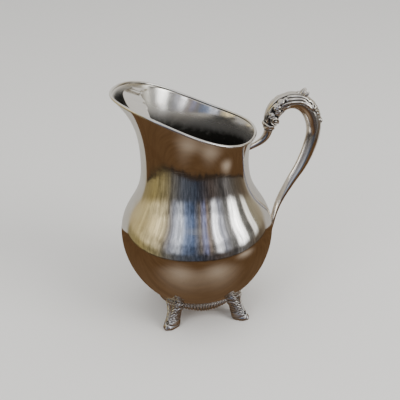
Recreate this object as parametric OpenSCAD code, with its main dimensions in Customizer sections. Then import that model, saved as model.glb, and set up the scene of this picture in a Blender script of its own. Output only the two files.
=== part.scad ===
// Footed silver water pitcher with an ice guard, a hollow cast handle and cast feet.
// The spout points along -X and the handle along +X. The table is at z = 0.

/* [Body] */
// Radius of the belly at its widest
belly_r = 75; // [68:0.5:82]
// Height of the widest ring above the table
belly_z = 90; // [84:1:98]
// Radius of the neck at its narrowest
neck_r = 51.6; // [46:0.2:57]
// Height of the narrowest ring of the neck
neck_z = 160; // [152:1:168]
// Radius of the flat ring under the body
base_r = 40; // [37:0.5:44]
// Height of the underside of the body above the table
base_z = 24; // [21:0.5:28]
// Thickness of the sheet
wall = 1.2; // [0.9:0.1:2]

/* [Mouth] */
// Radius of the rim at the handle side
rim_r = 58.5; // [55:0.5:62]
// How much further the spout reaches than the rim does at the handle side
spout_growth = 14; // [8:0.5:18]
// How much the pointed nose of the spout adds to that
nose_growth = 3.5; // [0:0.5:6]
// Height of the rim above the body's axis
rim_z = 207.4; // [200:0.2:215]
// Radius of the wire around the rim
wire_r = 1.3; // [1:0.1:2]

/* [Ice guard] */
// Distance of the guard's front edge from the body's axis
guard_front = 64; // [61:0.5:66]
// Distance of the guard's back edge from the body's axis
guard_back = 44.5; // [40:0.5:50]
// Thickness of the guard
guard_t = 1; // [0.8:0.1:1.6]
// How far the guard is arched above its ends
guard_arch = 7; // [4:0.5:10]

/* [Handle] */
// Thickness of the handle's cast shells
handle_wall = 1.1; // [0.8:0.1:1.3]

/* [Feet and border] */
// Distance of a toe's middle from the body's axis
toe_middle = 52; // [50:0.5:53]
// Half the width of a toe
toe_half_w = 7.5; // [6.5:0.5:8.5]
// Height of the border around the base
border_h = 6.5; // [5:0.5:8]
// Thickness of the border
border_t = 2.6; // [2:0.1:3]
// Angle that one piece of the border covers, in degrees
border_angle = 64; // [58:1:66]

/* [Hidden] */
foot_names = ["foot_spout_left", "foot_spout_right", "foot_handle_right", "foot_handle_left"];
foot_angles = [225, 135, 45, -45];
border_names = ["border_left", "border_spout", "border_right", "border_handle"];
border_angles = [-90, 180, 90, 0];

segments = 48;          // around the body
bowl_rows = 9;          // from the base to the belly
shoulder_rows = 8;      // from the belly to the neck
mouth_rows = 7;         // from the neck to the rim
contact_gap = 0.05;     // between pieces that are soldered together
nose_angle = 24;        // half the angle that the nose of the spout covers
handle_reach = 125;     // from the body's axis to the outside of the handle
spout_reach = rim_r + spout_growth + nose_growth + wire_r;
axis_x = (spout_reach - handle_reach) / 2;   // the origin is the middle of the whole pitcher
silver = [0.78, 0.75, 0.70];
dark_silver = [0.55, 0.53, 0.49];
pale_silver = [0.90, 0.88, 0.84];

// Outline of the body, as [radius, height]: a bowl and a shoulder, each one Bezier curve
bowl = [[base_r, base_z], [62, 38], [belly_r, 66], [belly_r, belly_z]];
shoulder = [[belly_r, belly_z], [belly_r, 120], [neck_r, 123], [neck_r, neck_z]];

function bezier(p, t) =
    pow(1 - t, 3) * p[0] + 3 * pow(1 - t, 2) * t * p[1] + 3 * (1 - t) * t * t * p[2] + t * t * t * p[3];
function bezier_slope(p, t) =
    3 * pow(1 - t, 2) * (p[1] - p[0]) + 6 * (1 - t) * t * (p[2] - p[1]) + 3 * t * t * (p[3] - p[2]);
function outward(d) = [d[1], -d[0]] / norm(d);

// The rim: angles are measured from the spout
function turn(a) = (1 + cos(a)) / 2;
function near_nose(a) = abs(a) > 90 ? 0 : exp(-pow(a / nose_angle, 2));
function rim_radius(a) = rim_r + spout_growth * pow(turn(a), 3) + nose_growth * near_nose(a);
// The rim climbs from the handle to the spout along an S: u runs from -0.8 to 1
function rim_height(a) =
    let (u = rim_radius(a) * cos(a) / belly_r) rim_z + 35 * u + 7.7 * u * u - 14.2 * u * u * u;
// The neck opens to the rim with the cube of the height
function mouth_radius(a, v) = neck_r + (rim_radius(a) - neck_r) * pow(v, 3);
function mouth_height(a, v) = neck_z + (rim_height(a) - neck_z) * v;
function around(a, r, z) = [axis_x - r * cos(a), -r * sin(a), z];

// ---- Polyhedra from rings of points ----

// Faces of a tube through rings of n points. Each ring closes on itself.
function tube_faces(rings, n, wrap = false) = [
    for (i = [0 : (wrap ? rings - 1 : rings - 2)])
    for (j = [0 : n - 1])
    let (a = i * n + j, b = i * n + (j + 1) % n, k = ((i + 1) % rings) * n)
    for (f = [[a, k + j, b], [b, k + j, k + (j + 1) % n]])
    f];

// Faces that close the end of a C-shaped ring, made of an outer and an inner arc of m points each
function c_end_faces(start, m, far = false) = [
    for (j = [0 : m - 2])
    let (a = start + j, b = start + j + 1, c = start + 2 * m - 2 - j, d = start + 2 * m - 1 - j)
    for (f = far ? [[a, c, b], [a, d, c]] : [[a, b, c], [a, c, d]])
    f];

// ---- Body ----

function outer_row(a) = concat(
    [for (i = [0 : bowl_rows]) let (p = bezier(bowl, i / bowl_rows)) around(a, p[0], p[1])],
    [for (i = [1 : shoulder_rows]) let (p = bezier(shoulder, i / shoulder_rows)) around(a, p[0], p[1])],
    [for (i = [1 : mouth_rows]) around(a, mouth_radius(a, i / mouth_rows), mouth_height(a, i / mouth_rows))]);

function inset(p, d) = p - wall * outward(d);

function inner_row(a) = concat(
    [for (i = [mouth_rows : -1 : 1])
        around(a, mouth_radius(a, i / mouth_rows) - wall, mouth_height(a, i / mouth_rows))],
    [for (i = [shoulder_rows : -1 : 1])
        let (t = i / shoulder_rows, p = inset(bezier(shoulder, t), bezier_slope(shoulder, t)))
        around(a, p[0], p[1])],
    [for (i = [bowl_rows : -1 : 0])
        let (t = i / bowl_rows, p = inset(bezier(bowl, t), bezier_slope(bowl, t)))
        around(a, p[0], p[1])]);

// The underside is pushed up a little inside its flat ring, over a slope from under_r to rise_r
under_r = base_r - 4;
rise_r = base_r - 8;
under_rise = 2;

module body_shell() {
    rows = [for (s = [0 : segments - 1]) let (a = s * 360 / segments) concat(
        [around(a, rise_r, base_z + under_rise), around(a, under_r, base_z)],
        outer_row(a),
        inner_row(a),
        [around(a, rise_r, base_z + under_rise + wall)])];
    n = len(rows[0]);
    under = segments * n;
    floor_top = under + 1;
    points = concat(
        [for (row = rows) for (p = row) p],
        [around(0, 0, base_z + under_rise), around(0, 0, base_z + under_rise + wall)]);
    sides = [
        for (s = [0 : segments - 1])
        for (j = [0 : n - 2])
        let (a = s * n + j, b = ((s + 1) % segments) * n + j)
        for (f = [[a, a + 1, b], [b, a + 1, b + 1]])
        f];
    caps = [
        for (s = [0 : segments - 1])
        let (a = s * n, b = ((s + 1) % segments) * n)
        for (f = [[under, a, b], [floor_top, b + n - 1, a + n - 1]])
        f];
    color(silver)
        polyhedron(points, concat(sides, caps));
}

// A half-round wire that sits on the edge of the sheet and stands proud outside
module rim_wire() {
    bead = [for (b = [180 : -40 : -60]) wire_r * [cos(b) - cos(60), sin(b) + sin(60)]];
    ring = concat(bead, [[-wall, 0]]);
    points = [
        for (s = [0 : segments - 1])
        let (a = s * 360 / segments)
        for (p = ring)
        around(a, rim_radius(a) + p[0], rim_height(a) + p[1])];
    color(pale_silver)
        polyhedron(points, tube_faces(segments, len(ring), wrap = true));
}

// ---- Ice guard ----

// An arched plate across the spout. Its ends are soldered inside the wall, just under the rim.
guard_front_angle = 40;
guard_back_angle = 60;
guard_drop = 3.5;
function guard_end(u, side) =
    let (a = side * (guard_front_angle + (guard_back_angle - guard_front_angle) * u),
         z = rim_height(a) - guard_drop,
         v = (z - guard_t - neck_z) / (rim_height(a) - neck_z))
    around(a, mouth_radius(a, v) - wall - contact_gap, z);
// The front edge is bowed and the back edge nearly straight, with its bend close to the wall
function guard_bend(u) = 2.6 + 3.4 * u;
function guard_point(u, v) =
    let (e = guard_end(u, v < 0 ? -1 : 1),
         x_middle = axis_x - guard_front + (guard_front - guard_back) * u)
    [x_middle + (e[0] - x_middle) * pow(abs(v), guard_bend(u)), e[1] * abs(v), e[2] + guard_arch * (1 - v * v)];

module ice_guard() {
    across = 14;
    along = 5;
    rings = [
        for (j = [0 : across])
        let (v = 1 - 2 * j / across)
        concat(
            [for (i = [0 : along]) guard_point(i / along, v)],
            [for (i = [along : -1 : 0]) guard_point(i / along, v) - [0, 0, guard_t]])];
    m = along + 1;
    color(pale_silver)
        polyhedron(
            [for (r = rings) for (p = r) p],
            concat(
                tube_faces(across + 1, 2 * m),
                c_end_faces(0, m),
                c_end_faces(across * 2 * m, m, far = true)));
}

// ---- Handle ----

// Middle line and size of the handle: distance from the body's axis, height,
// half thickness in the plane of the handle and half width across it
handle_line = [
    [52.9, 170.5, 2.5, 2.8],
    [58.9, 173.0, 2.7, 3.0],
    [66.5, 176.8, 3.2, 3.5],
    [71.6, 183.0, 3.9, 4.2],
    [73.0, 190.5, 4.4, 5.0],
    [74.8, 198.5, 6.6, 6.8],
    [79.2, 208.0, 7.0, 7.6],
    [87.0, 214.0, 7.4, 8.0],
    [98.0, 215.0, 7.6, 8.0],
    [108.6, 208.8, 7.8, 7.8],
    [115.2, 197.0, 7.4, 7.2],
    [117.6, 183.0, 7.2, 6.8],
    [114.4, 167.5, 7.0, 6.6],
    [106.5, 148.0, 6.2, 6.2],
    [95.0, 129.5, 5.0, 5.4],
    [84.6, 111.0, 3.8, 4.8],
    [79.6, 97.0, 2.9, 4.4],
    [77.6, 86.0, 2.5, 4.4],
    [75.2, 74.0, 1.7, 3.2]];
steps = 3;          // rings for each stretch of the line
arc_points = 6;     // points on each arc of a half

function clamped(list, i) = list[max(0, min(len(list) - 1, i))];
// A Catmull-Rom curve through the line's rows
function along_line(list, s) =
    let (i = min(floor(s), len(list) - 2), t = s - i,
         a = clamped(list, i - 1), b = list[i], c = list[i + 1], d = clamped(list, i + 2))
    0.5 * (2 * b + (c - a) * t + (2 * a - 5 * b + 4 * c - d) * t * t + (3 * b - a - 3 * c + d) * t * t * t);

function handle_ring(s, side) =
    let (p = along_line(handle_line, s),
         q = along_line(handle_line, min(s + 0.05, len(handle_line) - 1)),
         o = along_line(handle_line, max(s - 0.05, 0)),
         d = [q[0] - o[0], q[1] - o[1]] / norm([q[0] - o[0], q[1] - o[1]]),
         across = [-d[1], d[0]],
         place = function (t, w)
             [axis_x + p[0] + across[0] * t, side * w, p[1] + across[1] * t])
    concat(
        [for (j = [0 : arc_points - 1]) let (b = -90 + 180 * j / (arc_points - 1))
            place(p[2] * sin(b), p[3] * cos(b))],
        [for (j = [arc_points - 1 : -1 : 0]) let (b = -90 + 180 * j / (arc_points - 1))
            place((p[2] - handle_wall) * sin(b), (p[3] - handle_wall) * cos(b))]);

module handle_half(side) {
    rings = (len(handle_line) - 1) * steps + 1;
    points = [for (i = [0 : rings - 1]) for (p = handle_ring(i / steps, side)) p];
    n = 2 * arc_points;
    faces = concat(
        tube_faces(rings, n),
        c_end_faces(0, arc_points),
        c_end_faces((rings - 1) * n, arc_points, far = true));
    polyhedron(points, side < 0 ? [for (f = faces) [f[0], f[2], f[1]]] : faces);
}

module handle_left_half() {
    color(silver)
        handle_half(-1);
}

module handle_right_half() {
    color(silver)
        handle_half(1);
}

// ---- Feet and border ----

// Rings of a foot from the table up: height, distance from the body's axis,
// half depth and half width
foot_rings = [
    [0, toe_middle, 5.6, toe_half_w - 1.2],
    [1, toe_middle + 0.3, 6.5, toe_half_w - 0.3],
    [3.5, toe_middle - 0.2, 6.4, toe_half_w],
    [7, toe_middle - 1.8, 5.2, toe_half_w - 0.6],
    [11, toe_middle - 3.8, 4.3, toe_half_w - 1.2],
    [15.5, base_r + 6, 3.8, toe_half_w - 0.6],
    [20, base_r + 4.6, 3.5, toe_half_w + 1],
    [24, base_r + 3.9, 3.8, toe_half_w + 2],
    [26, base_r + 5.3, 2.55, toe_half_w + 1.6],
    [28, base_r + 6.9, 1.65, toe_half_w - 1]];
foot_points = 16;

module foot(angle) {
    rings = [
        for (r = foot_rings)
        [for (j = [0 : foot_points - 1])
            let (b = 360 * j / foot_points)
            [r[1] + r[2] * cos(b), r[3] * sin(b), r[0]]]];
    top = (len(foot_rings) - 1) * foot_points;
    faces = concat(
        tube_faces(len(foot_rings), foot_points),
        [[for (j = [0 : foot_points - 1]) j]],
        [[for (j = [foot_points - 1 : -1 : 0]) top + j]]);
    color(dark_silver)
        translate([axis_x, 0, 0])
            rotate([0, 0, angle])
                polyhedron([for (r = rings) for (p = r) p], faces);
}

module border(angle) {
    color(dark_silver)
        translate([axis_x, 0, base_z - border_h])
            rotate([0, 0, angle - border_angle / 2])
                rotate_extrude(angle = border_angle, $fn = 180)
                    translate([base_r - border_t, 0])
                        square([border_t, border_h]);
}

body_shell();
rim_wire();
ice_guard();
handle_left_half();
handle_right_half();
for (i = [0 : 3])
    foot(foot_angles[i]);
for (i = [0 : 3])
    border(border_angles[i]);
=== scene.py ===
"""The looks of a footed silver water pitcher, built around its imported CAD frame.

Shapes are worked out in millimetres on the pitcher's own axes: z up from the table, the spout along -x,
and x = y = 0 on the axis of the body. place() turns them into metres in the frame's axes.
"""
import math

import bpy
import numpy as np
from mathutils import Matrix, Vector


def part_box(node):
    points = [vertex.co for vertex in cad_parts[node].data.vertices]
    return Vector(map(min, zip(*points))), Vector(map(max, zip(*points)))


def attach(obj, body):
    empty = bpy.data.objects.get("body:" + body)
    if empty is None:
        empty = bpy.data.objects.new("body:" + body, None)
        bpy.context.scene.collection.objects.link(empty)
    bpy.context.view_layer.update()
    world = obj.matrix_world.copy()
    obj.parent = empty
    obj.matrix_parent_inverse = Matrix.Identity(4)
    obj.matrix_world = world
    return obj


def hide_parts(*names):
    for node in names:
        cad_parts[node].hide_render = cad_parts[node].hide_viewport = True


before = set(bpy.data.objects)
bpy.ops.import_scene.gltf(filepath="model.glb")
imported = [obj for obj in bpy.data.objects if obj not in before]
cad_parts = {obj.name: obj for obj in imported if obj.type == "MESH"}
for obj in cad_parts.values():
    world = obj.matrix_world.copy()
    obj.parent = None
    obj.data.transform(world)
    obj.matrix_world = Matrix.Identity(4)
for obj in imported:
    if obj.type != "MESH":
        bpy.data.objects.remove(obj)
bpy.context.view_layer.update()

MM = 0.001
SIDES = {"left": -1, "right": 1}
# The pieces of the border on the left and right are centred on the body's axis
AXIS_X = sum(corner[0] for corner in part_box("border_left")) / 2

# ---- Driving sizes, in millimetres, as in the CAD model ----
WALL = 1.2
BASE_R, BASE_Z = 40.0, 24.0
BELLY_R, BELLY_Z = 75.0, 90.0
NECK_R, NECK_Z = 51.6, 160.0
RIM_R, RIM_Z = 58.5, 207.4
SPOUT_GROWTH, NOSE_GROWTH, NOSE_ANGLE = 14.0, 3.5, 24.0
WIRE_R = 1.3
GUARD_FRONT, GUARD_BACK, GUARD_ARCH, GUARD_T = 64.0, 44.5, 7.0, 1.0
BORDER_H, BORDER_T, BORDER_ANGLE = 6.5, 2.6, 64.0


# ---- Small helpers ----

def place(points):
    """Points in millimetres on the pitcher's axes, as metres in the frame's axes."""
    return np.asarray(points, float) * MM + np.array([AXIS_X, 0.0, 0.0])


def smoothstep(low, high, x):
    t = np.clip((x - low) / (high - low), 0.0, 1.0)
    return t * t * (3 - 2 * t)


def bell(x, middle, width):
    """1 at the middle, falling smoothly to 0 about two widths away."""
    return np.exp(-(((x - middle) / width) ** 2))


def dome(x):
    """Height of a half circle of radius 1, at a distance x from its middle, and 0 outside it."""
    return np.sqrt(np.clip(1 - x ** 2, 0, 1))


def blur(grid, sigma):
    """A grid of numbers, smoothed along both directions."""
    reach = max(1, int(3 * sigma))
    kernel = np.exp(-0.5 * (np.arange(-reach, reach + 1) / sigma) ** 2)
    kernel /= kernel.sum()
    for axis in (0, 1):
        pad = [(0, 0)] * grid.ndim
        pad[axis] = (reach, reach)
        padded = np.pad(grid, pad, mode="edge")
        size = grid.shape[axis]
        grid = sum(k * np.take(padded, range(i, i + size), axis=axis) for i, k in enumerate(kernel))
    return grid


def bezier(p, t):
    """Points at the places t, from 0 to 1, of the curve with the four control points p."""
    p = np.asarray(p, float)
    t = np.asarray(t, float)[:, None]
    return (1 - t) ** 3 * p[0] + 3 * (1 - t) ** 2 * t * p[1] + 3 * (1 - t) * t * t * p[2] + t ** 3 * p[3]


def catmull_rom(rows, s):
    """Points at the places s along a smooth curve through the rows."""
    rows = np.asarray(rows, float)
    last = len(rows) - 1
    i = np.clip(np.floor(s).astype(int), 0, last - 1)
    t = (s - i)[:, None]
    a, b, c, d = rows[np.clip(i - 1, 0, last)], rows[i], rows[i + 1], rows[np.clip(i + 2, 0, last)]
    curve = (2 * a - 5 * b + 4 * c - d) * t ** 2 + (3 * b - a - 3 * c + d) * t ** 3
    return 0.5 * (2 * b + (c - a) * t + curve)


def grid_faces(rows, cols, wrap_rows=False, wrap_cols=False):
    """Quads of a grid of points numbered row by row."""
    faces = []
    for i in range(rows if wrap_rows else rows - 1):
        for j in range(cols if wrap_cols else cols - 1):
            i2, j2 = (i + 1) % rows, (j + 1) % cols
            faces.append((i * cols + j, i * cols + j2, i2 * cols + j2, i2 * cols + j))
    return faces


def closed_bar(rows, cols):
    """Faces of a bar whose rows of points go round its section, with a face over each end."""
    faces = grid_faces(rows, cols, wrap_cols=True)
    return faces + [tuple(range(cols))[::-1], tuple((rows - 1) * cols + j for j in range(cols))]


def mesh_piece(name, points, faces, recess=None, flip=False):
    """A smooth-shaded mesh object. recess is 0 on open metal and 1 deep in a groove, where oxide darkens it;
    inside the body it carries painted shade instead.
    """
    mesh = bpy.data.meshes.new(name)
    if flip:
        faces = [face[::-1] for face in faces]
    mesh.from_pydata(place(points).tolist(), [], faces)
    mesh.update()
    mesh.polygons.foreach_set("use_smooth", [True] * len(mesh.polygons))
    layer = mesh.attributes.new("recess", "FLOAT", "POINT")
    values = np.zeros(len(points)) if recess is None else np.asarray(recess, float).ravel()
    layer.data.foreach_set("value", values.astype(np.float32))
    piece = bpy.data.objects.new(name, mesh)
    bpy.context.scene.collection.objects.link(piece)
    return piece


def finish_piece(piece, slot, material, *nodes):
    """Gives a piece its material and its CAD body, and hides the CAD nodes that it stands for."""
    piece.data.materials.append(material)
    if nodes:
        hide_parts(*nodes)
    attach(piece, "root")
    return piece


# ---- Body ----
# Angles go round the axis from the spout.

BOWL = [(BASE_R, BASE_Z), (62, 38), (BELLY_R, 66), (BELLY_R, BELLY_Z)]
SHOULDER = [(BELLY_R, BELLY_Z), (BELLY_R, 120), (NECK_R, 123), (NECK_R, NECK_Z)]


# How the rim rises towards the spout: factors of u, u squared and u cubed
RIM_RISE = 35, 7.7, -14.2
# Columns of points round the body, and the strength of its smoothing and how far it reaches, in rows
BODY_COLUMNS = 288
SMOOTHNESS, SMOOTHED_ROWS = 5.0, 30


def rim_radius(angle):
    """Distance of the rim from the axis, larger towards the spout and a little pointed at its nose."""
    turned = (1 + np.cos(np.radians(angle))) / 2
    nose = np.exp(-((angle / NOSE_ANGLE) ** 2))
    return RIM_R + SPOUT_GROWTH * turned ** 3 + NOSE_GROWTH * nose


def rim_height(angle):
    u = rim_radius(angle) * np.cos(np.radians(angle)) / BELLY_R
    return RIM_Z + sum(factor * u ** power for power, factor in enumerate(RIM_RISE, start=1))


def mouth_radius(angle, v):
    """Distance of the mouth's wall from the axis, v of the way from the neck up to the rim."""
    return NECK_R + (rim_radius(angle) - NECK_R) * v ** 3


def mouth_height(angle, v):
    return NECK_Z + (rim_height(angle) - NECK_Z) * v


def around(angle, r, z):
    """Points at an angle from the spout, at a distance r from the body's axis."""
    a = np.radians(angle)
    return np.stack([-r * np.cos(a), -r * np.sin(a), z], -1)


def body_outline(angle, bowl_rows=60, shoulder_rows=60, mouth_rows=60):
    """The outside of the body at one angle, as rows of radius and height, from the base ring to the rim."""
    v = np.linspace(0, 1, mouth_rows)[1:]
    outline = np.vstack([
        bezier(BOWL, np.linspace(0, 1, bowl_rows)),
        bezier(SHOULDER, np.linspace(0, 1, shoulder_rows))[1:],
        np.stack([mouth_radius(angle, v), mouth_height(angle, v)], -1)])
    # A little smoothing takes away the jumps in curvature, which a mirror finish would show. The outline is
    # first carried on past its ends, so that the smoothing doesn't bend them.
    first, last = outline[0].copy(), outline[-1].copy()
    before = 2 * first - outline[SMOOTHED_ROWS:0:-1]
    after = 2 * last - outline[-2:-2 - SMOOTHED_ROWS:-1]
    longer = np.vstack([before, outline, after])[:, None, :]
    outline = blur(longer, SMOOTHNESS)[SMOOTHED_ROWS:-SMOOTHED_ROWS, 0]
    outline[0], outline[-1] = first, last
    return outline


def outline_normals(outline):
    slope = np.gradient(outline, axis=0)
    normal = np.stack([slope[:, 1], -slope[:, 0]], -1)
    return normal / np.linalg.norm(normal, axis=1)[:, None]


def make_body(material):
    """The spun shell, outside and inside, with a pushed-up bottom."""
    near_axis = 0.01
    under = np.array([
        (near_axis, BASE_Z + 2.6), (10, BASE_Z + 2.5), (24, BASE_Z + 2.2), (33, BASE_Z + 1.6),
        (35.2, BASE_Z + 0.6), (36, BASE_Z + 0.1), (37, BASE_Z), (39.2, BASE_Z)])
    floor = np.array([
        (36.6, BASE_Z + 2.2), (34, BASE_Z + 3.2), (24, BASE_Z + 3.5), (10, BASE_Z + 3.7),
        (near_axis, BASE_Z + 3.8)])
    rings, recess = [], []
    for angle in np.linspace(-180, 180, BODY_COLUMNS, endpoint=False):
        outer = body_outline(angle)
        inner = outer - WALL * outline_normals(outer)
        inner[-1] = outer[-1] - [WALL, 0]
        inner = inner[::-1][:-2]
        section = np.vstack([under, outer, inner, floor])
        rings.append(around(angle, section[:, 0], section[:, 1]))
        # Inside, the plate is a little duller, and painted shade darkens it: more so further down, and under
        # the ice guard
        depth = outer[-1, 1] - inner[:, 1]
        shaded = 0.8 * math.exp(-(angle / 40) ** 2) * smoothstep(0.5, 2.5, depth) * smoothstep(70, 30, depth)
        away = (1 - math.cos(math.radians(angle))) / 2
        dullness_and_shade = 0.16 * smoothstep(0.5, 5, depth) + 0.80 * smoothstep(16 - 12 * away, 52 - 32 * away, depth)
        dullness_and_shade = np.clip(dullness_and_shade + shaded, 0, 0.96)
        # The outside gets none of it, and the inside of the bottom gets nearly black painted shade
        dullness_and_shade = np.concatenate([np.zeros(len(under) + len(outer)), dullness_and_shade, np.full(len(floor), 0.94)])
        recess.append(dullness_and_shade)
    points = np.stack(rings)
    faces = grid_faces(BODY_COLUMNS, points.shape[1], wrap_rows=True)
    return finish_piece(
        mesh_piece("silver_body", points.reshape(-1, 3), faces, np.stack(recess), flip=True),
        "polished_silver", material, "body_shell")


def make_rim_wire(material):
    """A half-round wire along the edge of the mouth."""
    turn = np.radians(np.linspace(200, -70, 15))
    section = np.stack([WIRE_R * (np.cos(turn) - 0.42), WIRE_R * (np.sin(turn) + 0.75)], -1)
    rings = []
    for angle in np.linspace(-180, 180, BODY_COLUMNS, endpoint=False):
        rings.append(around(angle, rim_radius(angle) + section[:, 0], rim_height(angle) + section[:, 1]))
    points = np.stack(rings)
    faces = grid_faces(BODY_COLUMNS, points.shape[1], wrap_rows=True, wrap_cols=True)
    return finish_piece(
        mesh_piece("rim_wire_bead", points.reshape(-1, 3), faces), "bright_silver", material, "rim_wire")


# ---- Ice guard ----

GUARD_FRONT_ANGLE, GUARD_BACK_ANGLE, GUARD_DROP = 40.0, 60.0, 3.5


def guard_point(u, v):
    """A point of the guard: u runs from its front edge to its back edge, v across it from -1 to 1."""
    side = -1 if v < 0 else 1
    angle = GUARD_FRONT_ANGLE + (GUARD_BACK_ANGLE - GUARD_FRONT_ANGLE) * u
    top = float(rim_height(angle))
    z = top - GUARD_DROP
    reach = float(mouth_radius(angle, (z - NECK_Z) / (top - NECK_Z))) - WALL * 0.6
    end_x, end_y = -reach * math.cos(math.radians(angle)), reach * math.sin(math.radians(angle))
    y = end_y * abs(v)
    # The front edge is bowed. The back edge is cut as a bracket: a cusp in its middle, a scroll near each end
    cusp = 1.9 * math.exp(-(y / 1.6) ** 2) - 0.8 * bell(y, 7, 4)
    scroll = 2.4 * bell(y, 40, 1.6) - 2.0 * bell(y, 35, 3)
    back = GUARD_BACK + cusp + scroll
    middle_x = -GUARD_FRONT * (1 - u) - back * u
    x = middle_x + (end_x - middle_x) * abs(v) ** (2.6 + 3.4 * u)
    return x, side * y, z + GUARD_ARCH * (1 - v * v)


def make_guard(material):
    """The arched plate across the spout, with soft edges and a rolled lip along its back edge."""
    across, along = 121, 33
    top = np.array([
        [guard_point(u, v) for u in np.linspace(0, 1, along)]
        for v in np.linspace(-1, 1, across)])
    # Where the section goes round its edges the plate gets rounder: the top comes down, the bottom comes up
    edge = np.minimum(np.arange(along), along - 1 - np.arange(along)) * 0.6
    sink = (GUARD_T / 2) * (1 - dome(1 - np.clip(edge / 1.2, 0, 1)))
    lip = 0.55 * bell(np.linspace(0, 1, along), 0.955, 0.035)
    upper, lower = top.copy(), top.copy()
    upper[:, :, 2] += lip - sink
    lower[:, :, 2] += sink - GUARD_T
    points = np.concatenate([upper, lower[:, ::-1]], axis=1)
    return finish_piece(
        mesh_piece("ice_guard_plate", points.reshape(-1, 3), closed_bar(*points.shape[:2]), flip=True),
        "bright_silver", material, "ice_guard")


# ---- Handle ----
# Rows: distance from the body's axis, height, half thickness in the handle's plane, half width across it.

HANDLE_LINE = [
    (52.6, 170.4, 2.5, 2.8), (58.9, 173.0, 2.7, 3.0), (66.5, 176.8, 3.2, 3.5), (71.6, 183.0, 3.9, 4.2),
    (73.0, 190.5, 4.4, 5.0), (74.8, 198.5, 6.6, 6.8), (79.2, 208.0, 7.0, 7.6), (87.0, 214.0, 7.4, 8.0),
    (98.0, 215.0, 7.6, 8.0), (108.6, 208.8, 7.8, 7.8), (115.2, 197.0, 7.4, 7.2), (117.6, 183.0, 7.2, 6.8),
    (114.4, 167.5, 7.0, 6.6), (106.5, 148.0, 6.2, 6.2), (95.0, 129.5, 5.0, 5.4), (84.6, 111.0, 3.8, 4.8),
    (79.6, 97.0, 2.9, 4.4), (76.8, 86.0, 2.5, 4.4), (74.4, 74.0, 1.7, 3.2)]
# The distance between two rows of points along it, and the rows over which its smoothing dies out at an end
HANDLE_STEP = 0.32
END_STEPS = 33
HANDLE_WALL = 1.1


def handle_frame():
    """Evenly spaced places along the handle: distance run, rows as in HANDLE_LINE, outward direction."""
    fine = catmull_rom(HANDLE_LINE, np.linspace(0, len(HANDLE_LINE) - 1, 4000))
    run = np.concatenate([[0], np.cumsum(np.hypot(*np.diff(fine[:, :2], axis=0).T))])
    even = np.arange(0, run[-1], HANDLE_STEP)
    rows = np.stack([np.interp(even, run, fine[:, k]) for k in range(4)], -1)
    first, last = rows[0].copy(), rows[-1].copy()
    rows = blur(rows[:, None, :], 12.0)[:, 0]
    # Smoothing moves the ends, so they are brought back
    steps = np.arange(len(rows))
    for end, i, away in ((first, 0, steps), (last, -1, steps[::-1])):
        share = np.clip(1 - away / END_STEPS, 0, 1)[:, None] ** 2
        rows = rows + (end - rows[i]) * share
    slope = np.gradient(rows[:, :2], axis=0)
    slope /= np.linalg.norm(slope, axis=1)[:, None]
    outward = np.stack([-slope[:, 1], slope[:, 0]], -1)
    return even, rows, outward


def leaf(run, arc, start, length, arc0, arc1, width, height, lobes=5, veins=True):
    """Height of a carved leaf that runs along the handle, while its middle moves from arc0 to arc1."""
    t = (run - start) / length
    inside = (t > 0) & (t < 1)
    t = np.clip(t, 0, 1)
    middle = arc0 + (arc1 - arc0) * t
    outline = np.sin(np.pi * t ** 0.7) ** 0.8 * (0.82 + 0.18 * np.abs(np.cos(np.pi * lobes * t)))
    half = np.maximum(width * outline, 1e-3)
    q = np.abs(arc - middle) / half
    body = dome(q) * (0.45 + 0.55 * t)
    if veins:
        body = body - 0.32 * bell(q, 0, 0.14)
        body = body - 0.16 * np.abs(np.sin(np.pi * lobes * (t - 0.25 * q))) * (q > 0.2)
    return np.where(inside & (q < 1), height * np.clip(body, 0, None), 0.0)


def boss(run, arc, at_run, at_arc, radius, height):
    """Height of a round knob."""
    d = np.hypot(run - at_run, arc - at_arc) / radius
    return height * dome(d)


def rosette(run, arc, at_run, at_arc, radius, height, petals=6):
    """Height of a small flower: petals around a round eye."""
    x, y = run - at_run, arc - at_arc
    d, turn = np.hypot(x, y) / radius, np.arctan2(y, x)
    petal = (0.62 + 0.38 * np.abs(np.cos(petals * turn / 2))) * dome(2 * d - 1.1)
    return np.where(d < 1, height * np.maximum(petal, 1.15 * dome(d / 0.3)), 0.0)


def volute(run, arc, at_run, at_arc, radius, height, turns=1.6, sense=1):
    """Height of a scroll: a ridge that winds in to a round eye."""
    x, y = run - at_run, (arc - at_arc) * sense
    d, turn = np.hypot(x, y) / radius, np.arctan2(y, x) / (2 * np.pi)
    wave = np.cos(2 * np.pi * (turns * (1 - d) * 1.6 + turn))
    ridge = (0.62 + 0.38 * wave) * smoothstep(1.0, 0.84, d)
    return np.where(d < 1, height * np.maximum(ridge, 1.1 * dome(d / 0.28)), 0.0)


def scale(run, arc, start, length, width, height):
    """Height of one scale of an overlapping chain: it rises towards its rounded lower edge."""
    q = np.clip(np.abs(arc) / width, 0, 1)
    p = (run - start) / (length * np.sqrt(1 - q ** 2) + 1e-3)
    inside = (p > 0) & (p < 1) & (q < 1)
    p = np.clip(p, 0, 1)
    rise = (0.3 + 0.7 * p) * smoothstep(1.0, 0.9, p) * (1 - 0.35 * bell(p, 0.62, 0.12))
    return np.where(inside, height * rise, 0.0)


def loop(run, arc, at_run, at_arc, radius, height):
    """Height of a round ring."""
    d = np.hypot(run - at_run, arc - at_arc) / radius
    return height * dome((d - 0.72) / 0.28)


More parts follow.
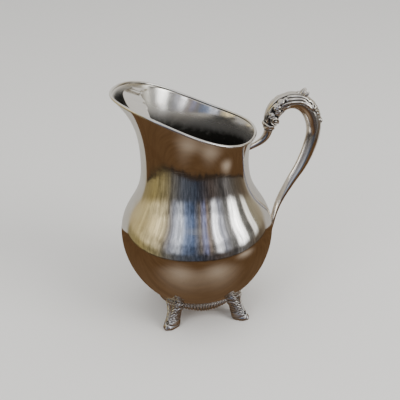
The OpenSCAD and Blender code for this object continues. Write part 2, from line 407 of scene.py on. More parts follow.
def handle_relief(run, around_deg, girth):
    """Height of the ornament, in millimetres, over the handle's skin.

    run is the distance along the handle, around_deg the angle from its back, and girth the half size there.
    """
    arc = np.radians(around_deg) * girth
    # A smooth raised band along the back, up to the thumb leaf
    carved = [0.75 * smoothstep(3.5, 2.9, arc) * smoothstep(35, 38, run) * smoothstep(79, 75, run)]
    # The collar where the plain arm ends: two ribbons that cross, with a knob behind them
    for first, turn_over in ((30.6, 0.36), (35.0, -0.36)):
        middle = first + turn_over * (arc - 1.5)
        carved.append(1.5 * dome((run - middle) / 1.15) * (arc < 12.5))
    carved += [
        1.3 * bell(run, 30.4, 0.8),
        boss(run, arc, 34.2, 0.0, 2.6, 2.5),
        # The scroll at the foot of the ornament, on the inner side of the bend, and a smaller one over it
        volute(run, arc, 39.6, np.radians(112) * 6.4, 5.2, 2.7),
        volute(run, arc, 44.0, 7.6, 3.1, 1.9, turns=1.2, sense=-1),
        leaf(run, arc, 35.5, 18, 4.4, 4.6, 1.7, 1.7, lobes=3, veins=False),
        # Flowers and leaf tips that climb from the inner side to the back
        rosette(run, arc, 49.4, 12.2, 3.3, 1.8, petals=5),
        rosette(run, arc, 52.6, 7.6, 3.4, 2.0),
        rosette(run, arc, 57.6, 6.4, 2.8, 1.8, petals=5),
        boss(run, arc, 61.6, 6.0, 1.7, 1.5),
        leaf(run, arc, 44.0, 12, 15.6, 17.4, 2.9, 1.5, lobes=3),
        leaf(run, arc, 53.0, 10, 16.6, 14.4, 2.8, 1.4, lobes=3),
        leaf(run, arc, 52.0, 12, 11.6, 11.0, 2.6, 1.5, lobes=4),
        leaf(run, arc, 46.5, 8, 4.6, 4.4, 1.3, 1.3, lobes=3)]
    # Long flutes along the side that gather below the thumb leaf
    for k, first in enumerate((4.9, 8.0, 11.1)):
        t = np.clip((run - 60) / 24.0, 0, 1)
        middle = first - (first - 4.2) * 0.34 * t ** 2
        gate = smoothstep(61.5 - 1.4 * k, 65.5 - 1.4 * k, run) * smoothstep(84 - 2.0 * k, 78 - 2.0 * k, run)
        carved.append(1.4 * dome((arc - middle) / (1.5 - 0.35 * t)) * gate)
    # Leaves and a chain of scales that run down the outer side, ending in beads
    carved += [
        leaf(run, arc, 74.5, 14, 2.4, 4.6, 3.6, 1.9, lobes=4),
        leaf(run, arc, 77.0, 13, 9.2, 8.6, 3.0, 1.6, lobes=4),
        loop(run, arc, 87.2, 6.2, 2.5, 1.9)]
    for start, length, width, height in (
            (80, 7.6, 5.4, 1.7), (85, 7.0, 7.4, 1.9), (89.4, 6.2, 7.4, 1.9), (93.4, 5.4, 6.8, 1.8),
            (97.0, 4.8, 5.8, 1.6)):
        carved.append(scale(run, arc, start, length, width, height))
    carved += [boss(run, arc, 103.6, 0.0, 2.7, 2.0), boss(run, arc, 101.4, 4.6, 1.3, 1.0)]
    return np.maximum.reduce(carved)


def make_handle(side_name, material):
    """One cast half of the handle, carved on the outside and hollow inside."""
    side = SIDES[side_name]
    run, rows, outward = handle_frame()
    turn = np.linspace(0, 180, 97)     # from the back of the handle to its inner side
    run_grid, turn_grid = np.meshgrid(run, turn, indexing="ij")
    thick, wide = rows[:, 2][:, None], rows[:, 3][:, None]
    # Below the ornament the arm has flat flanks that meet in a ridge on each side
    plain = smoothstep(104, 118, run_grid) * smoothstep(229, 205, run_grid)
    power = 1.0 + 0.5 * plain
    cosine, sine = np.cos(np.radians(turn_grid)), np.sin(np.radians(turn_grid))
    cosine = np.sign(cosine) * np.abs(cosine) ** power
    sine = np.clip(sine, 0, 1) ** power
    relief = blur(handle_relief(run_grid, turn_grid, (thick + wide) / 2), 1.15)
    relief *= smoothstep(0, 6, run_grid)
    out, across = (thick + relief) * cosine, (wide + relief) * sine
    skin = np.stack([
        rows[:, 0][:, None] + outward[:, 0][:, None] * out,
        side * across,
        rows[:, 1][:, None] + outward[:, 1][:, None] * out], -1)
    hollow_turn = np.radians(np.linspace(180, 0, 19))[None, :]
    inside_out = (thick - HANDLE_WALL) * np.cos(hollow_turn)
    inside = np.stack([
        rows[:, 0][:, None] + outward[:, 0][:, None] * inside_out,
        side * (wide - HANDLE_WALL) * np.sin(hollow_turn),
        rows[:, 1][:, None] + outward[:, 1][:, None] * inside_out], -1)
    groove = blur(relief, 4.2) - relief
    carved = smoothstep(0.05, 0.4, blur(relief, 5.2))
    recess = np.clip(groove / 0.27 + 0.12, 0, 1) * carved
    recess = np.concatenate([recess, np.zeros(inside.shape[:2])], axis=1)
    points = np.concatenate([skin, inside], axis=1)
    faces = closed_bar(*points.shape[:2])
    return finish_piece(
        mesh_piece(f"handle_{side_name}_casting", points.reshape(-1, 3), faces, recess, flip=side > 0),
        "cast_silver", material, f"handle_{side_name}_half")


def at_handle(run_at, out_by):
    """A point over the back of the handle, and the directions along and out from it there."""
    run, rows, outward = handle_frame()
    i = int(np.searchsorted(run, run_at))
    out = np.array([outward[i, 0], 0, outward[i, 1]])
    along = np.array([outward[i, 1], 0, -outward[i, 0]])
    middle = np.array([rows[i, 0], 0, rows[i, 1]])
    return middle + out * (rows[i, 2] + out_by), along, out


def joined(name, parts):
    """One mesh piece from several (points, faces, recess) parts."""
    points, faces, recess, count = [], [], [], 0
    for part_points, part_faces, part_recess in parts:
        points.append(part_points)
        recess.append(part_recess)
        faces += [tuple(i + count for i in face) for face in part_faces]
        count += len(part_points)
    return mesh_piece(name, np.vstack(points), faces, np.concatenate(recess))


# The thumb leaf's buds: shift along the handle, shift to the side, rise, half sizes, lean, splay
BUDS = [
    (-0.8, 0.0, 2.9, (2.5, 3.2, 4.9), 0.42, 0.0), (1.9, -2.3, 2.2, (2.4, 2.5, 4.1), 0.75, -0.30),
    (1.9, 2.3, 2.2, (2.4, 2.5, 4.1), 0.75, 0.30), (-2.9, 0.0, 0.9, (3.4, 2.6, 2.2), 0.0, 0.0)]


def make_thumb_leaf(material):
    """The small cluster of curled buds where the thumb rests."""
    base, along, out = at_handle(74.6, -0.8)
    across = np.array([0.0, 1.0, 0.0])
    rows, cols = 33, 72
    up, turn = np.meshgrid(
        np.linspace(-0.5, 0.5, rows) * np.pi, np.linspace(0, 2 * np.pi, cols, endpoint=False), indexing="ij")
    tip = 1 - 0.42 * np.clip(np.sin(up), 0, 1) ** 1.5
    groove = (1 - np.abs(np.cos(3.0 * turn + 0.4))) ** 1.6 * np.cos(up) ** 0.5
    size = tip * (1 - 0.30 * groove)
    shade = np.clip(1.5 * groove ** 1.5 + smoothstep(-0.2, -1.1, up), 0, 1)
    parts = []
    for shift, aside, rise, radii, lean, splay in BUDS:
        climb = radii[2] * (1 + np.sin(up))
        a = radii[0] * np.cos(up) * np.cos(turn) * size + shift + lean * 0.16 * climb ** 1.3
        b = radii[1] * np.cos(up) * np.sin(turn) * size + aside + splay * climb
        c = radii[2] * np.sin(up) + rise
        points = base + a[..., None] * along + b[..., None] * across + c[..., None] * out
        parts.append((points.reshape(-1, 3), grid_faces(rows, cols, wrap_cols=True), shade.ravel()))
    return finish_piece(joined("thumb_leaf", parts), "cast_silver", material)


# ---- Feet ----
# A foot is a cast leaf: a broad fan that lies on the bowl, a narrower ankle, and a shell for a toe.
# Rows from the top down: height, how far its face stands from the body's axis, half width.

FOOT_LINE = [
    (28.2, 50.0, 6.6), (26.8, 49.6, 8.9), (24.8, 49.0, 9.8), (22.0, 48.8, 9.5), (19.0, 49.4, 8.5),
    (15.5, 50.8, 7.4), (12.0, 52.6, 7.0), (9.0, 54.4, 7.0), (6.2, 56.4, 7.4), (3.6, 58.2, 7.8),
    (1.4, 58.9, 7.5), (0.0, 57.6, 6.5)]
# The scrolls on it: height, distance from its middle, radius, relief
FOOT_SCROLLS = [(23.6, 6.4, 2.7, 1.5), (17.4, 5.2, 2.0, 1.3), (12.2, 4.2, 1.8, 1.3), (7.6, 4.6, 1.9, 1.3)]
# The small round recess over the toe, from which the shell's ribs spread
RECESS_Z = 7.6


def foot_relief(z, y):
    """Height of the carving on a foot, z above the table and y across it from its middle."""
    q = np.abs(y)
    leafy = smoothstep(8.0, 10.0, z)
    # A rib down the middle, and leaflets that slope down to it
    vein = np.abs(np.sin(np.pi * (z - 0.75 * q) / 2.7))
    h = vein ** 0.75 * smoothstep(0.9, 1.5, q) * leafy
    h = np.maximum(h, 1.5 * dome(q / 1.15) * leafy * smoothstep(29, 25, z))
    # Scrolls in the wings and beside the ankle
    for at_z, at_q, radius, height in FOOT_SCROLLS:
        d = np.hypot(z - at_z, q - at_q) / radius
        turn = np.arctan2(z - at_z, q - at_q)
        scroll = (0.6 + 0.4 * np.cos(9.0 * d - turn)) * smoothstep(1.0, 0.82, d)
        h = np.where(d < 1, height * np.maximum(scroll, 1.2 * dome(d / 0.3)), h)
    # The shell: ribs that spread from a small round recess over the toe
    reach, turn = np.hypot(z - RECESS_Z, q), np.arctan2(q, RECESS_Z - z)
    ribs = 1.1 * np.abs(np.cos(4.5 * turn)) ** 0.6 * smoothstep(1.6, 2.8, reach) * smoothstep(8.6, 7.6, z)
    h = np.where(z < 8.2, np.maximum(h * (q > 3.2), ribs), h)
    h = np.maximum(h, 1.2 * bell(reach, 2.3, 0.6) * smoothstep(11, 9.5, z))
    return h - 0.3 * smoothstep(1.8, 1.0, reach)


def make_foot(name, angle, material):
    """A cast foot: the carved face with rounded edges, and a plain back."""
    steps, across = 150, 89
    rows = catmull_rom(FOOT_LINE, np.linspace(0, len(FOOT_LINE) - 1, steps))
    t, w = np.meshgrid(np.linspace(0, 1, steps), np.linspace(-1, 1, across), indexing="ij")
    half = np.maximum(rows[:, 2], 0.4)[:, None] * (1 + 0.07 * np.cos(34 * t) * smoothstep(0.5, 0.35, t))
    y = w * half
    # The fan's upper edge has five lobes
    z = rows[:, 0][:, None] + 0.8 * (np.abs(np.cos(2.5 * np.pi * w / 1.1)) - 0.6) * smoothstep(0.16, 0.0, t)
    z = np.maximum(z, 0.0)
    outline = body_outline(90.0)
    bowl_r = np.interp(z, outline[:, 1], outline[:, 0])
    under = np.where(z >= BASE_Z, bowl_r, BASE_R + 0.6 + 0.012 * (BASE_Z - z) ** 2)
    skirt = np.sqrt(np.maximum(under ** 2 - y ** 2, 1.0)) + 0.35
    face = rows[:, 1][:, None] - np.sqrt(np.maximum(under ** 2, 1.0)) - 0.35
    relief = blur(foot_relief(z, y), 0.7)
    rounding = np.clip(1 - w ** 2, 0, 1) ** 0.55
    # The fan's upper edge thins down onto the bowl
    fan = smoothstep(-0.02, 0.07, t)
    raised = np.maximum(face, 1.0) * rounding + relief * np.clip(1 - w ** 8, 0, 1)
    skin_r = skirt - 0.35 * (1 - fan) + raised * fan
    front = np.stack([skin_r, y, z], -1)
    inner = slice(3, -3, 3)
    # The back lies well behind the face, and is sunk into the bowl
    back_r = np.maximum(np.minimum(skirt - 0.9, skin_r - 1.6), 0)[:, inner]
    back = np.stack([back_r, (y * 0.9)[:, inner], z[:, inner]], -1)[:, ::-1]
    groove = blur(relief, 2.4) - relief
    recess = np.clip(groove / 0.22 + 0.3 * smoothstep(2.0, 1.2, np.hypot(z - RECESS_Z, y)), 0, 1)
    recess = np.concatenate([recess, np.full(back.shape[:2], 0.6)], axis=1)
    points = np.concatenate([front, back], axis=1)
    flat = points.reshape(-1, 3)
    a = math.radians(angle)
    turned = np.stack([flat[:, 0] * math.cos(a) - flat[:, 1] * math.sin(a),
                       flat[:, 0] * math.sin(a) + flat[:, 1] * math.cos(a), flat[:, 2]], -1)
    piece = mesh_piece(f"{name}_casting", turned, closed_bar(*points.shape[:2]), recess, flip=True)
    return finish_piece(piece, "oxidised_silver", material, name)


# ---- Border ----

def make_border(name, angle, material):
    """A strip of gadroons between two feet. They lean away from its middle, where they are longest."""
    lobes = 15
    along, up = 241, 27
    a, t = np.meshgrid(np.linspace(-1, 1, along), np.linspace(0, 1, up), indexing="ij")
    lean = 0.55 * np.sign(a) * smoothstep(0, 0.15, np.abs(a)) * (1 - t) / lobes
    phase = (a + lean) * lobes / 2
    rib = np.abs(np.cos(np.pi * phase)) ** 0.6
    drop = 0.74 + 0.26 * np.cos(np.pi * a / 2) ** 2
    tip = 0.9 * (rib - 0.8) * smoothstep(0.5, 0.0, t)
    z = BASE_Z + 0.5 - (1 - t) * (BORDER_H * drop + 0.5) - tip
    round_out = np.sqrt(np.clip(1 - (2 * t - 0.9) ** 2 / 1.3, 0, 1))
    bead = 0.7 * bell(t, 0.9, 0.07)
    r = BASE_R - 0.6 + (0.6 + 1.9 * rib) * round_out + bead
    relief = r - blur(r, 2.5)
    theta = np.radians(a * BORDER_ANGLE / 2 + angle)
    front = np.stack([r * np.cos(theta), r * np.sin(theta), z], -1)
    inner_r = np.full_like(r, BASE_R - BORDER_T)
    back = np.stack([inner_r * np.cos(theta), inner_r * np.sin(theta), np.minimum(z, BASE_Z)], -1)
    back = back[:, ::4][:, ::-1]
    points = np.concatenate([front, back], axis=1)
    recess = np.concatenate([np.clip(0.1 - relief / 0.3, 0, 1), np.full(back.shape[:2], 0.5)], axis=1)
    faces = closed_bar(*points.shape[:2])
    piece = mesh_piece(f"{name}_gadroons", points.reshape(-1, 3), faces, recess)
    return finish_piece(piece, "oxidised_silver", material, name)


# ---- Materials ----

# The mix node has sockets of the same name for numbers, vectors and colours. These are the ones for colours.
COLOUR_A, COLOUR_B, COLOUR_OUT = 6, 7, 2


class Nodes:
    """A short way to write a material's node tree."""

    def __init__(self, name):
        self.material = bpy.data.materials.new(name)
        self.material.use_nodes = True
        self.tree = self.material.node_tree
        self.shader = self.tree.nodes["Principled BSDF"]
        self.position = self.add("ShaderNodeTexCoord").outputs["Object"]

    def add(self, kind, **values):
        node = self.tree.nodes.new(kind)
        for key, value in values.items():
            if hasattr(node, key):
                setattr(node, key, value)
            else:
                node.inputs[key.replace("_", " ")].default_value = value
        return node

    def link(self, source, target):
        self.tree.links.new(source, target)

    def noise(self, scale, detail=3.0, roughness=0.55, stretch=(1, 1, 1), turn=(0, 0, 0)):
        mapping = self.add("ShaderNodeMapping")
        mapping.inputs["Scale"].default_value = stretch
        mapping.inputs["Rotation"].default_value = turn
        self.link(self.position, mapping.inputs["Vector"])
        noise = self.add("ShaderNodeTexNoise", Scale=scale, Detail=detail, Roughness=roughness)
        self.link(mapping.outputs["Vector"], noise.inputs["Vector"])
        return noise.outputs["Fac"]

    def ramp(self, source, low, high, from_value=0.0, to_value=1.0):
        node = self.add("ShaderNodeMapRange")
        node.interpolation_type = "SMOOTHSTEP"
        ends = {"From Min": low, "From Max": high, "To Min": from_value, "To Max": to_value}
        for key, value in ends.items():
            node.inputs[key].default_value = value
        self.link(source, node.inputs["Value"])
        return node.outputs["Result"]

    def math(self, operation, a, b, clamp=False):
        node = self.add("ShaderNodeMath")
        node.operation = operation
        node.use_clamp = clamp
        for socket, value in zip(node.inputs, (a, b)):
            if isinstance(value, (int, float)):
                socket.default_value = value
            else:
                self.link(value, socket)
        return node.outputs["Value"]

    def mix(self, factor, a, b, blend="MIX"):
        """A mix of two colours, each a tuple or the output of a node."""
        node = self.add("ShaderNodeMix")
        node.data_type = "RGBA"
        node.blend_type = blend
        if isinstance(factor, float):
            node.inputs["Factor"].default_value = factor
        else:
            self.link(factor, node.inputs["Factor"])
        for socket, value in ((node.inputs[COLOUR_A], a), (node.inputs[COLOUR_B], b)):
            if isinstance(value, tuple):
                socket.default_value = (*value, 1.0)
            else:
                self.link(value, socket)
        return node.outputs[COLOUR_OUT]

    def bump(self, source, strength, distance, below=None):
        node = self.add("ShaderNodeBump", Strength=strength, Distance=distance)
        self.link(source, node.inputs["Height"])
        if below is not None:
            self.link(below, node.inputs["Normal"])
        return node.outputs["Normal"]


def silver(name, bright, tarnish, gloss, tarnish_share, recess_dark=None, dents=0.0):
    """Silver plate: tarnish in soft patches, wiping scratches, hazy spots, oxide in carved recesses, and
    painted shade deep inside the body.
    """
    n = Nodes(name)
    patches = n.noise(22, detail=4, roughness=0.6)
    specks = n.noise(190, detail=4, roughness=0.65)
    scratches_a = n.noise(60, detail=6, roughness=0.7, stretch=(1, 1, 34), turn=(0.5, 0.3, 0))
    scratches_b = n.noise(55, detail=6, roughness=0.7, stretch=(30, 1, 1.4), turn=(0.2, 0.9, 0.5))
    patch_mask = n.ramp(patches, 0.46, 0.78, 0.0, tarnish_share)
    speck_mask = n.ramp(specks, 0.6, 0.8, 0.0, tarnish_share * 0.6)
    stain = n.math("ADD", patch_mask, speck_mask, clamp=True)
    colour = n.mix(stain, bright, tarnish)
    scratch = n.math("ADD", n.ramp(scratches_a, 0.56, 0.72), n.ramp(scratches_b, 0.58, 0.74), clamp=True)
    rough = n.ramp(patches, 0.35, 0.75, gloss, gloss * 1.9)
    rough = n.math("ADD", rough, n.math("MULTIPLY", scratch, gloss * 0.55))
    if recess_dark is not None:
        attribute = n.add("ShaderNodeAttribute")
        attribute.attribute_name = "recess"
        # Darker where the recess attribute is high: oxide in carved grooves, and painted shade inside the body
        oxide_and_shade = n.math("MULTIPLY", attribute.outputs["Fac"], n.ramp(specks, 0.2, 0.6, 0.95, 1.1), clamp=True)
        colour = n.mix(oxide_and_shade, colour, recess_dark)
        rough = n.math("ADD", rough, n.math("MULTIPLY", oxide_and_shade, 0.5))
        n.link(n.math("SUBTRACT", 1.0, n.math("MULTIPLY", oxide_and_shade, 0.35)), n.shader.inputs["Metallic"])
    else:
        n.shader.inputs["Metallic"].default_value = 1.0
    n.link(colour, n.shader.inputs["Base Color"])
    n.link(rough, n.shader.inputs["Roughness"])
    surface = n.bump(scratch, 0.05, 0.00012)
    if dents:
        surface = n.bump(n.noise(26, detail=1.5, roughness=0.4), dents, 0.0012, below=surface)
    surface = n.bump(specks, 0.03, 0.0002, below=surface)
    n.link(surface, n.shader.inputs["Normal"])
    return n.material


def plain(name, colour, roughness):
    material = bpy.data.materials.new(name)
    material.use_nodes = True
    shader = material.node_tree.nodes["Principled BSDF"]
    shader.inputs["Base Color"].default_value = (*colour, 1)
    shader.inputs["Roughness"].default_value = roughness
    return material


# ---- Stage ----
# The camera stands in front and a little towards the spout. The silver mirrors a room and a table that the
# camera itself doesn't see: it sees a plain pale floor.

VIEW_AZIMUTH = math.radians(-100)


def stage_mesh(name, points, faces, material):
    mesh = bpy.data.meshes.new(name)
    mesh.from_pydata(points, [], faces)
    mesh.materials.append(material)
    piece = bpy.data.objects.new(name, mesh)
    bpy.context.scene.collection.objects.link(piece)
    return piece


def glow_only(n, colour):
    """Makes a material shine in its own colour, whatever light falls on it."""
    n.shader.inputs["Base Color"].default_value = (0, 0, 0, 1)
    n.shader.inputs["Specular IOR Level"].default_value = 0.0
    n.link(colour, n.shader.inputs["Emission Color"])
    n.shader.inputs["Emission Strength"].default_value = 1.0


# The mirrored room's radius, foot and top in metres, and the light that comes from its open top
ROOM_RADIUS, ROOM_FOOT, ROOM_TOP = 1.5, -1.2, 1.4
CEILING_COLOUR = (0.72, 0.72, 0.71)
# What the silver mirrors at eye height, as degrees round from the camera towards the right of the picture,
# and a colour: from the wall behind the pitcher, past curtains, a dark room and windows, back to the wall
ROOM_HIGH = [
    (-180, (0.76, 0.74, 0.70)), (-141, (0.72, 0.70, 0.65)), (-131, (0.54, 0.45, 0.27)),
    (-100, (0.66, 0.55, 0.28)), (-60, (0.68, 0.59, 0.36)), (-50, (0.22, 0.20, 0.17)),
    (-41, (0.32, 0.34, 0.41)), (-28, (0.56, 0.61, 0.72)), (-20, (0.18, 0.23, 0.36)),
    (-6, (0.07, 0.10, 0.18)), (6, (0.13, 0.115, 0.10)), (14, (0.20, 0.22, 0.38)),
    (20, (0.17, 0.135, 0.11)), (26, (0.24, 0.23, 0.23)), (30, (1.4, 1.45, 1.6)),
    (35, (1.4, 1.45, 1.6)), (41, (0.36, 0.38, 0.46)), (53, (0.18, 0.18, 0.18)),
    (60, (0.30, 0.30, 0.30)), (63, (2.9, 2.95, 3.0)), (76, (2.9, 2.95, 3.0)),
    (81, (0.30, 0.30, 0.28)), (91, (0.12, 0.11, 0.10)), (94, (1.5, 1.5, 1.4)),
    (100, (1.5, 1.5, 1.4)), (103, (0.28, 0.25, 0.18)), (125, (0.40, 0.35, 0.25)),
    (139, (0.72, 0.70, 0.66)), (180, (0.76, 0.74, 0.70))]
# The same below the height of the table
ROOM_LOW = [
    (-180, (0.56, 0.54, 0.50)), (-126, (0.56, 0.54, 0.49)), (-119, (0.30, 0.25, 0.13)),
    (-90, (0.34, 0.28, 0.12)), (-60, (0.26, 0.22, 0.12)), (-48, (0.14, 0.13, 0.11)),
    (-25, (0.085, 0.095, 0.12)), (0, (0.045, 0.055, 0.08)), (30, (0.075, 0.060, 0.055)),
    (58, (0.09, 0.085, 0.085)), (66, (0.20, 0.19, 0.19)), (80, (0.10, 0.09, 0.08)),
    (106, (0.13, 0.10, 0.07)), (118, (0.22, 0.18, 0.13)), (126, (0.54, 0.52, 0.49)),
    (180, (0.56, 0.54, 0.50))]


def room_material():
    n = Nodes("mirrored_room")
    axes = n.add("ShaderNodeSeparateXYZ")
    n.link(n.position, axes.inputs["Vector"])
    streaks = n.noise(5, detail=4, roughness=0.6, stretch=(1, 1, 0.12))
    turn = n.math("ARCTAN2", axes.outputs["Y"], axes.outputs["X"])
    share = n.math("ADD", n.math("DIVIDE", turn, 2 * math.pi), 0.5)
    share = n.math("ADD", share, n.math("MULTIPLY", n.math("SUBTRACT", streaks, 0.5), 0.012))
    ramps = []
    for stops in (ROOM_HIGH, ROOM_LOW):
        ramp = n.add("ShaderNodeValToRGB")
        places = ramp.color_ramp.elements
        for angle, colour in stops[1:-1]:
            places.new((angle + 180) / 360).color = (*colour, 1)
        places[0].color = (*stops[0][1], 1)
        places[len(places) - 1].color = (*stops[-1][1], 1)
        n.link(share, ramp.inputs["Fac"])
        ramps.append(ramp.outputs["Color"])
    height = n.ramp(n.math("ADD", axes.outputs["Z"], n.math("MULTIPLY", streaks, 0.3)), 0.0, 0.34)
    # Folds and furniture in front of the camera, and a plain wall behind the pitcher
    blotches = n.noise(9, detail=6, roughness=0.7, stretch=(1.6, 1.6, 0.35))
    folds = n.noise(15, detail=5, roughness=0.65, stretch=(1, 1, 0.07))
    uneven = n.math("MULTIPLY", n.ramp(blotches, 0.34, 0.66, 0.6, 1.4), n.ramp(folds, 0.36, 0.64, 0.62, 1.38))
    shade = n.mix(n.math("MULTIPLY", uneven, 0.5), (0.0, 0.0, 0.0), (2.0, 2.0, 2.0))
    shade = n.mix(n.ramp(axes.outputs["X"], -0.9, 0.4), (1.0, 1.0, 1.0), shade)
    wall = n.mix(1.0, n.mix(height, ramps[1], ramps[0]), shade, blend="MULTIPLY")
    # It is brighter high up on the camera's side, and fades into the ceiling
    ceiling = n.ramp(axes.outputs["Z"], 1.0, ROOM_TOP)
    glow_only(n, n.mix(ceiling, wall, CEILING_COLOUR))
    high, near = n.ramp(axes.outputs["Z"], 0.4, 0.8, 0.0, 0.8), n.ramp(axes.outputs["X"], -0.6, 0.6)
    lift = n.math("MULTIPLY", n.math("MULTIPLY", high, near), n.math("SUBTRACT", 1.0, ceiling))
    n.link(n.math("ADD", 1.0, lift), n.shader.inputs["Emission Strength"])
    return n.material


# The mirrored table's reach from the pitcher, in metres: towards the camera, to the sides and to the wall
TABLE_FRONT, TABLE_SIDE, TABLE_BACK = 0.37, 0.39, -0.172
# How it is rounded in front: 1 would be an ellipse, and more is more pointed
TABLE_ROUNDING = 1.4
# It lies just over the floor
TABLE_Z = 0.0005
# Soft patches of light on it: metres towards the camera, metres to its right, radius, strength
TABLE_GLOWS = [
    (0.140, -0.058, 0.115, 0.25), (0.140, 0.066, 0.115, 0.25), (0.115, 0.25, 0.11, 0.40),
    (0.22, -0.10, 0.12, 0.06), (0.20, 0.10, 0.12, 0.06), (0.0, 0.0, 0.25, 0.02)]


def table_material():
    n = Nodes("mirrored_table")
    grain = n.noise(7, detail=7, roughness=0.6, stretch=(9, 1, 1))
    colour = n.mix(n.ramp(grain, 0.25, 0.75), (0.092, 0.049, 0.022), (0.134, 0.075, 0.036))
    for forward, right, radius, strength in TABLE_GLOWS:
        spot = n.add("ShaderNodeVectorMath")
        spot.operation = "DISTANCE"
        n.link(n.position, spot.inputs[0])
        spot.inputs[1].default_value = (forward, right, 0)
        lit = n.math("POWER", n.ramp(spot.outputs["Value"], 0.0, radius, 1.0, 0.0), 1.6)
        lit = n.math("MULTIPLY", lit, strength)
        colour = n.mix(lit, colour, (1.0, 0.86, 0.70))
    # A dark uneven trim along its front edge
    axes = n.add("ShaderNodeSeparateXYZ")
    n.link(n.position, axes.inputs["Vector"])
    forward = n.math("MAXIMUM", n.math("DIVIDE", axes.outputs["X"], TABLE_FRONT), 0.0)
    sideways = n.math("DIVIDE", axes.outputs["Y"], TABLE_SIDE)
    reach = n.math("POWER", forward, 2 / TABLE_ROUNDING)
    reach = n.math("ADD", reach, n.math("MULTIPLY", sideways, sideways))
    reach = n.math("ADD", reach, n.math("MULTIPLY", n.math("SUBTRACT", n.noise(28, detail=3), 0.5), 0.22))
    colour = n.mix(n.ramp(reach, 0.85, 0.93, 0.0, 0.85), colour, (0.02, 0.018, 0.016))
    glow_only(n, colour)
    return n.material


def mirrored_mesh(name, points, faces, material):
    """A surface that nothing but the silver shows. Its x axis points from the pitcher to the camera's side."""
    piece = stage_mesh(name, points, faces, material)
    piece.location = (AXIS_X, 0, 0)
    piece.rotation_euler = (0, 0, VIEW_AZIMUTH)
    for ray in ("camera", "diffuse", "shadow", "transmission", "volume_scatter"):
        setattr(piece, f"visible_{ray}", False)


def make_stage():
    reach = 3.0
    corners = [(-reach, -reach, 0), (reach, -reach, 0), (reach, reach, 0), (-reach, reach, 0)]
    floor = stage_mesh("floor", corners, [(0, 1, 2, 3)], plain("pale_floor", (0.80, 0.79, 0.77), 0.9))
    floor.visible_glossy = False
    # A table with a rounded front that ends at the wall
    turns = np.linspace(-0.5, 0.5, 49) * np.pi
    edge = [
        (TABLE_FRONT * abs(math.cos(a)) ** TABLE_ROUNDING, TABLE_SIDE * math.sin(a), TABLE_Z) for a in turns]
    edge += [(TABLE_BACK, TABLE_SIDE, TABLE_Z), (TABLE_BACK, -TABLE_SIDE, TABLE_Z)]
    mirrored_mesh("mirrored_table", edge, [tuple(range(len(edge)))], table_material())
    steps = 96
    turns = [2 * math.pi * k / steps for k in range(steps)]
    ring = [(ROOM_RADIUS * math.cos(a), ROOM_RADIUS * math.sin(a)) for a in turns]
    points = [(x, y, z) for z in (ROOM_FOOT, ROOM_TOP) for x, y in ring]
    faces = [(k, (k + 1) % steps, steps + (k + 1) % steps, steps + k) for k in range(steps)]
    mirrored_mesh("mirrored_room", points, faces, room_material())


def area_light(name, side_angle, distance, height, size, power, colour):
    """A square lamp that the silver doesn't mirror, side_angle degrees to the right of the camera."""
    data = bpy.data.lights.new(name, "AREA")
    data.shape = "SQUARE"
    data.size = size
    data.energy = power
    data.color = colour
    light = bpy.data.objects.new(name, data)
    a = VIEW_AZIMUTH + math.radians(side_angle)
    spot = Vector((AXIS_X + distance * math.cos(a), distance * math.sin(a), height))
    aim = Vector((AXIS_X, 0, 0.12))
    light.location = spot
    light.rotation_euler = (aim - spot).to_track_quat("-Z", "Y").to_euler()
    light.visible_glossy = False
    bpy.context.scene.collection.objects.link(light)


def make_lights():
    world = bpy.data.worlds.new("world")
    bpy.context.scene.world = world
    world.use_nodes = True
    background = world.node_tree.nodes["Background"]
    background.inputs["Color"].default_value = (*CEILING_COLOUR, 1)
    background.inputs["Strength"].default_value = 1.0
    area_light("soft_front_right", 55, 1.6, 1.2, 1.0, 22, (1.0, 0.98, 0.95))
    area_light("soft_front_left", -35, 1.7, 1.3, 1.0, 12, (0.95, 0.97, 1.0))
    area_light("ceiling", 0, 0.2, 1.9, 1.4, 12, (1.0, 0.99, 0.97))


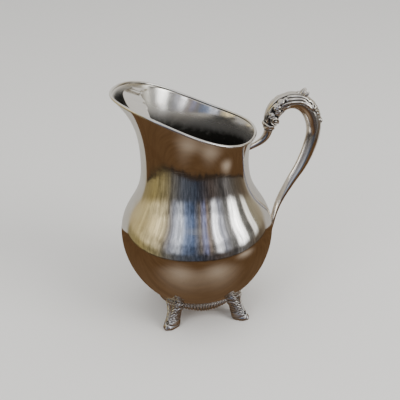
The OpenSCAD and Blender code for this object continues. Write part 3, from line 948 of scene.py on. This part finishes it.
# The camera's focal length, and how far its lens is shifted, as shares of the picture's width
FOCAL_LENGTH, SHIFT_X, SHIFT_Y = 2.4035, 0.0085, 0.0565
SENSOR_WIDTH = 36.0


def make_camera():
    """A long lens, well above the table and rolled a little."""
    distance, elevation, roll = 0.953, math.radians(29), math.radians(1.8)
    target = Vector((AXIS_X, 0, 0.0953))
    direction = Vector((math.cos(elevation) * math.cos(VIEW_AZIMUTH),
                        math.cos(elevation) * math.sin(VIEW_AZIMUTH), math.sin(elevation)))
    data = bpy.data.cameras.new("camera")
    data.sensor_width = SENSOR_WIDTH
    data.lens = SENSOR_WIDTH * FOCAL_LENGTH
    data.clip_start = 0.01
    data.shift_x, data.shift_y = SHIFT_X, SHIFT_Y
    camera = bpy.data.objects.new("camera", data)
    turn = direction.to_track_quat("Z", "Y").to_matrix() @ Matrix.Rotation(-roll, 3, "Z")
    camera.matrix_world = Matrix.Translation(target + direction * distance) @ turn.to_4x4()
    bpy.context.scene.collection.objects.link(camera)
    bpy.context.scene.camera = camera



# ---- Build ----

make_camera()
make_stage()
make_lights()

# The body's recess colour is painted shade, deep inside it and under the ice guard
POLISHED = silver(
    "polished_silver", (0.86, 0.83, 0.78), (0.62, 0.53, 0.40), 0.055, 0.45,
    recess_dark=(0.030, 0.028, 0.024), dents=0.10)
BRIGHT = silver("bright_silver", (0.90, 0.88, 0.84), (0.70, 0.62, 0.50), 0.08, 0.35, dents=0.05)
CAST = silver(
    "cast_silver", (0.84, 0.79, 0.72), (0.55, 0.47, 0.36), 0.12, 0.5, recess_dark=(0.018, 0.016, 0.016))
OXIDISED = silver(
    "oxidised_silver", (0.76, 0.74, 0.71), (0.42, 0.38, 0.32), 0.18, 0.5, recess_dark=(0.014, 0.014, 0.016))

make_body(POLISHED)
make_rim_wire(BRIGHT)
make_guard(BRIGHT)
for side_name in SIDES:
    make_handle(side_name, CAST)
make_thumb_leaf(CAST)
for name, angle in (
        ("foot_spout_left", 225), ("foot_spout_right", 135), ("foot_handle_right", 45),
        ("foot_handle_left", -45)):
    make_foot(name, angle, OXIDISED)
for name, angle in (("border_left", -90), ("border_spout", 180), ("border_right", 90), ("border_handle", 0)):
    make_border(name, angle, OXIDISED)
